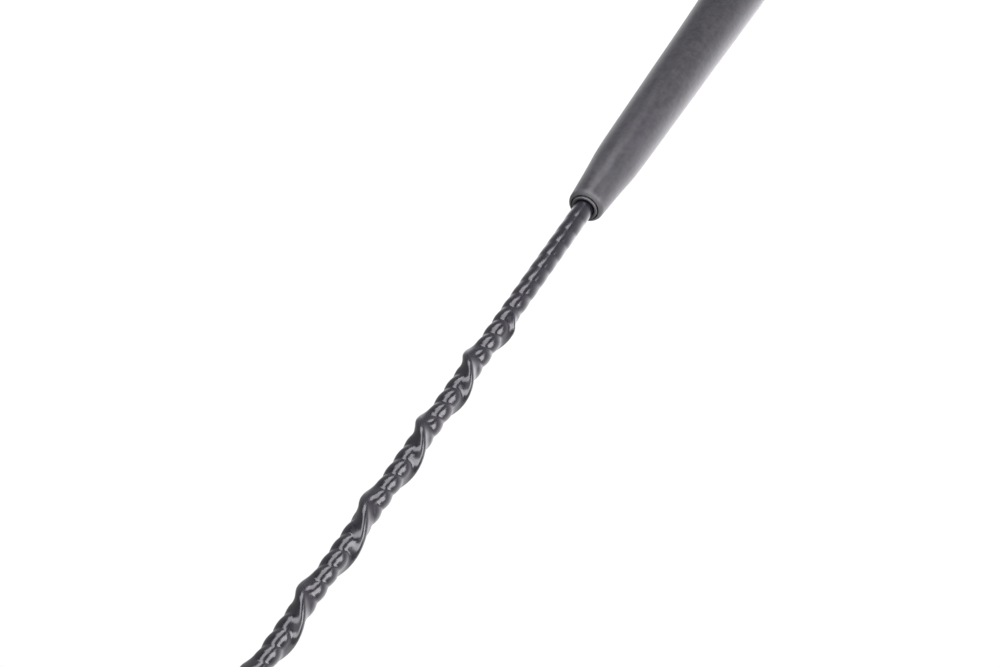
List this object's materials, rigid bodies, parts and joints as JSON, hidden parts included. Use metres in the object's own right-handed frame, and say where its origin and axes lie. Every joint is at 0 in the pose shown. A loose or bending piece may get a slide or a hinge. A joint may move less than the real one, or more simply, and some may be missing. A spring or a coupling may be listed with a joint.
{
  "type": "car mast aerial",
  "caption": "Screw-on car roof mast aerial: a sleeved, wire-wound whip with a spiral ridge, set in a tapered rubber grip on a threaded stud.",
  "frame": {"origin": "centre of the seat face, where the foot meets the aerial's base", "axes": "+Z along the mast from the seat to the tip; the stud points along -Z; X and Y are square to the mast"},
  "size_m": [0.015, 0.015, 0.4085],
  "materials": {
    "plated_brass": "nickel plated, satin, turned",
    "grip_rubber": "matt to satin dark grey, moulded, very fine grain",
    "bush_plastic": "matt dark grey with fine concentric rings",
    "glass_fibre": "pultruded glass fibre, pale straw",
    "solder": "bright solder",
    "enamelled_copper": "clear red-brown enamel",
    "cord_plastic": "smooth monofilament",
    "sleeve_film": "glossy black shrunk film",
    "cap_rubber": "satin black moulding"
  },
  "bodies": {
    "root": {"threaded_ferrule": "plated_brass", "grip": "grip_rubber", "mouth_bush": "bush_plastic", "core_rod": "glass_fibre", "solder_joint": "solder", "radiator_wire": "enamelled_copper", "spiral_cord": "cord_plastic", "shrink_sleeve": "sleeve_film", "tip_cap": "cap_rubber"}
  },
  "joints": []
}
